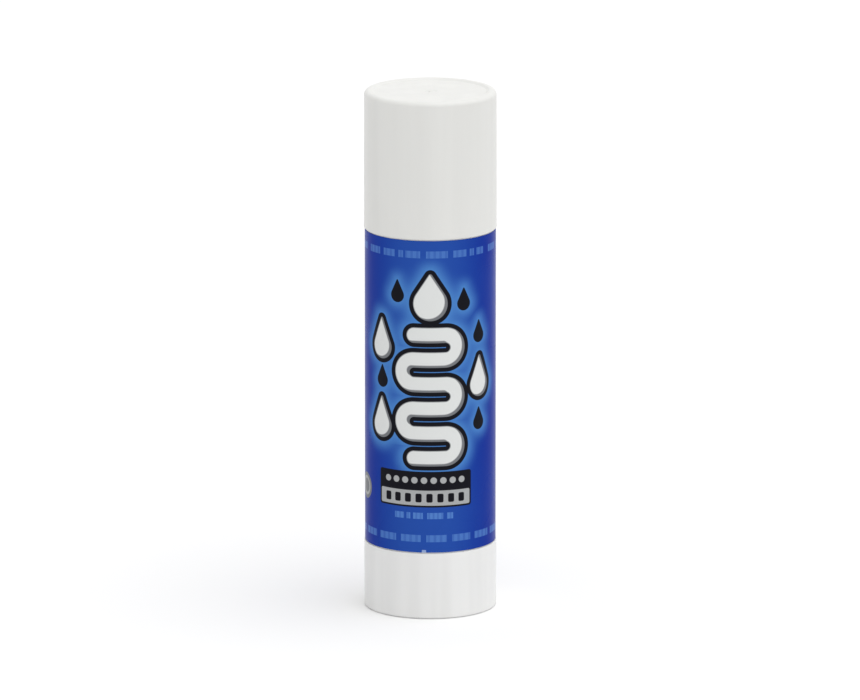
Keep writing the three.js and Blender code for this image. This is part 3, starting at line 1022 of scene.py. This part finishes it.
def make_glue():
    """The stick of glue, cast round the nut, the webs and the spindle, with grooves for the guide ribs."""
    low, high = GLUE_LOW.z, GLUE_HIGH.z
    plug_radius = CARRIER_RADIUS - CARRIER_RIM - PASTE_GAP
    shoulder = CARRIER_HIGH.z + PASTE_GAP
    nut_well = NUT_RADIUS + PASTE_GAP
    nut_top = low + NUT_HEIGHT
    well = THREAD_RADIUS + THREAD_CLEARANCE
    bore_top = SPINDLE_HIGH.z + PASTE_GAP
    top_radius = GLUE_RADIUS - SOFT_EDGE
    top = [(top_radius * (1 - ring / CAST_RINGS), high, 0) for ring in range(1, CAST_RINGS + 1)]

    def cast(angle, radius, height):
        if height < high - SOFT_EDGE:
            return radius, height
        share = radius / GLUE_RADIUS
        place = Vector((radius * math.cos(angle), radius * math.sin(angle), 0))
        swell = noise.noise(place / SWELL_SIZE) * SWELL_HEIGHT
        mark = math.exp(-((place - POUR_MARK).length / POUR_MARK_RADIUS) ** 2) * POUR_MARK_DEPTH
        fall = CAST_SINK * (1 - share**CAST_SINK_POWER)
        calm = min(1.0, (1 - share) * CAST_CALM)
        return radius, height - fall + (swell - mark) * calm

    glue = revolve("glue_stick", [
        (0, bore_top, 0),
        (well, bore_top, 0),
        (well, nut_top, 0),
        (nut_well, nut_top, 0),
        (nut_well, low, 0),
        (plug_radius, low, 0),
        (plug_radius, shoulder, 0),
        (GLUE_RADIUS, shoulder, CRISP_EDGE),
        (GLUE_RADIUS, high, SOFT_EDGE),
        *top,
    ], shape=cast)
    slot = CARRIER_WEB + 2 * PASTE_GAP
    slot_top = PLATE_TOP + CARRIER_WEB_HEIGHT + PASTE_GAP
    cuts = ribs(GUIDE_RIBS, GROOVE_FLOOR, SLEEVE_RADIUS, GROOVE, low - MM, high + MM)
    cuts += ribs(CARRIER_WEBS, well, CARRIER_RADIUS, slot, low - MM, slot_top, start=WEB_TURN)
    combine(glue, cuts, "DIFFERENCE")
    return glue


def make_spindle():
    """The threaded spindle: journal, flange, core and thread, on the hexagon that the knob turns."""
    low, high = SPINDLE_LOW.z, SPINDLE_HIGH.z
    flange_radius = SPINDLE_HIGH.x
    flange_bottom = FLANGE_TOP - FLANGE_THICKNESS
    journal_bottom = BARREL_LOW.z - JOURNAL_RISE
    spindle = revolve("spindle_screw", [
        (0, journal_bottom, 0),
        (JOURNAL_RADIUS, journal_bottom, CRISP_EDGE),
        (JOURNAL_RADIUS, flange_bottom, CRISP_EDGE),
        (flange_radius, flange_bottom, FINE_EDGE),
        (flange_radius, FLANGE_TOP, SMALL_EDGE),
        (CORE_RADIUS, FLANGE_TOP, SOFT_EDGE),
        (CORE_RADIUS, high, SOFT_EDGE),
        (0, high, 0),
    ], columns=COLUMNS // 2)
    ridge = thread(FLANGE_TOP + THREAD_MARGIN, high - THREAD_MARGIN)
    combine(spindle, [hexagon(HEX_RADIUS, low, flange_bottom), ridge], "UNION")
    return spindle


def make_carrier():
    """The carrier: a cup with wiper lips, webs, the nut in its middle and notches for the guide ribs."""
    low, high = CARRIER_LOW.z, CARRIER_HIGH.z
    relief = CARRIER_RADIUS - WIPER_RELIEF
    inner = CARRIER_RADIUS - CARRIER_RIM
    nut_top = PLATE_TOP + NUT_HEIGHT
    hole = CORE_RADIUS + THREAD_CLEARANCE
    carrier = revolve("carrier_cup", [
        (hole, low, CRISP_EDGE),
        (CARRIER_RADIUS, low, SMALL_EDGE),
        (CARRIER_RADIUS, low + WIPER_LIP, CRISP_EDGE),
        (relief, low + WIPER_LIP + WIPER_RELIEF, FINE_EDGE),
        (relief, high - WIPER_LIP - WIPER_RELIEF, FINE_EDGE),
        (CARRIER_RADIUS, high - WIPER_LIP, CRISP_EDGE),
        (CARRIER_RADIUS, high, CRISP_EDGE),
        (inner, high, SOFT_EDGE),
        (inner, PLATE_TOP, SOFT_EDGE),
        (NUT_RADIUS, PLATE_TOP, SOFT_EDGE),
        (NUT_RADIUS, nut_top, SMALL_EDGE),
        (hole, nut_top, CRISP_EDGE),
    ], ring=True)
    web_inner = (hole + NUT_RADIUS) / 2
    web_outer = (inner + CARRIER_RADIUS) / 2
    web_low = low + PLATE_THICKNESS / 2
    web_high = PLATE_TOP + CARRIER_WEB_HEIGHT
    webs = ribs(CARRIER_WEBS, web_inner, web_outer, CARRIER_WEB, web_low, web_high, start=WEB_TURN)
    combine(carrier, webs, "UNION")
    cuts = ribs(GUIDE_RIBS, GROOVE_FLOOR, SLEEVE_RADIUS, GROOVE, low - MM, high + MM)
    cuts.append(thread(low - THREAD_LEAD, nut_top + THREAD_LEAD, clearance=THREAD_CLEARANCE))
    combine(carrier, cuts, "DIFFERENCE")
    return carrier


def make_seal_ring():
    """The soft ring under the spindle's flange."""
    inner = JOURNAL_RADIUS + SEAL_CLEARANCE
    corners = [
        (inner, SEAL_LOW.z, CRISP_EDGE),
        (SEAL_HIGH.x, SEAL_LOW.z, SMALL_EDGE),
        (SEAL_HIGH.x, SEAL_HIGH.z, SMALL_EDGE),
        (inner, SEAL_HIGH.z, CRISP_EDGE),
    ]
    return revolve("seal_washer", corners, columns=COLUMNS // 2, ring=True)


def dress(piece, body, material, node):
    """Finishes a piece that stands for a CAD node."""
    smooth(piece)
    piece.data.materials.clear()
    piece.data.materials.append(material)
    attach(piece, body)
    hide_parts(node)


# Studio

def make_camera():
    """The camera, which looks at the stick's front from a little above."""
    camera = bpy.data.objects.new("camera", bpy.data.cameras.new("camera"))
    bpy.context.collection.objects.link(camera)
    back = Vector((0, -math.cos(CAMERA_ELEVATION), math.sin(CAMERA_ELEVATION)))
    camera.location = CAMERA_TARGET + back * CAMERA_DISTANCE
    camera.rotation_euler = (-back).to_track_quat("-Z", "Y").to_euler()
    camera.data.sensor_width = SENSOR_WIDTH
    camera.data.lens = FOCAL_LENGTH
    bpy.context.scene.camera = camera


def make_sun(name, azimuth, elevation, strength, softness):
    """A wide soft light from far away. Azimuth is measured from the front towards +X, in degrees."""
    data = bpy.data.lights.new(name, "SUN")
    data.energy = strength
    data.angle = math.radians(softness)
    lamp = bpy.data.objects.new(name, data)
    bpy.context.collection.objects.link(lamp)
    turn = math.radians(azimuth)
    rise = math.radians(elevation)
    towards = Vector((math.sin(turn) * math.cos(rise), -math.cos(turn) * math.cos(rise), math.sin(rise)))
    lamp.rotation_euler = towards.to_track_quat("Z", "Y").to_euler()


def seen_as_background(nodes):
    """1 for rays that see the background: from the camera, in a reflection or through something clear."""
    path = nodes.add("ShaderNodeLightPath").outputs
    camera = Number(nodes, path["Is Camera Ray"])
    return camera.most(path["Is Glossy Ray"]).most(path["Is Transmission Ray"])


def make_world(front, behind, flags):
    """A white surround that shows as white, and lights less from behind and, by flags, from both sides."""
    world = bpy.data.worlds.new("studio")
    bpy.context.scene.world = world
    nodes = Nodes(world, "ShaderNodeOutputWorld")
    x, y, _ = nodes.split(nodes.coordinates["Generated"])
    level = (y * (behind - front) + (front + behind)) / 2 * (1.0 - x * x * flags)
    nodes.shader(
        "ShaderNodeBackground", Color=(1, 1, 1, 1), Strength=pick(seen_as_background(nodes), 1.0, level)
    )


def make_floor():
    """A pale floor that looks white where it is fully lit and keeps the stick's shadow."""
    mesh = bmesh.new()
    bmesh.ops.create_grid(mesh, x_segments=1, y_segments=1, size=FLOOR_REACH)
    floor = to_object("floor", mesh)
    floor.location.z = -FLOOR_SINK
    nodes = new_material("floor")
    colour = nodes.blend(seen_as_background(nodes), FLOOR_LIT, FLOOR_SHOWN)
    floor.data.materials.append(nodes.shader("ShaderNodeBsdfDiffuse", Color=colour))


bpy.context.scene.view_settings.view_transform = "Standard"
make_camera()
make_world(front=0.88, behind=0.82, flags=0.32)
make_floor()
make_sun("key", azimuth=66, elevation=65, strength=1.14, softness=70)

# The cap and the knob are the same white plastic. The knob's copy is made lighter as painted light,
# standing in for the bounce from the floor.
cap_white = white_plastic("cap_white", tone(230, 230, 227), tone(227, 227, 224), roughness=0.31)
knob_white_painted_bounce = white_plastic("knob_white_painted_bounce", tone(239, 239, 238), tone(233, 233, 232), roughness=0.31)
tube_white = white_plastic("barrel_white", tone(234, 234, 231), tone(229, 229, 226), roughness=0.25)
dress(make_cap(), "cap", cap_white, "cap")
dress(make_knob(), "dial", knob_white_painted_bounce, "knob")
dress(make_barrel(), "barrel", tube_white, "barrel")
dress(make_label(), "barrel", label_film(), "label")

glue = make_glue()
dress(glue, "carrier", glue_paste(), "glue")
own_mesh(glue)

inner_plastic = milky_plastic()
dress(make_spindle(), "dial", inner_plastic, "spindle")
dress(make_carrier(), "carrier", inner_plastic, "carrier")
dress(make_seal_ring(), "barrel", seal_foam(), "seal_ring")
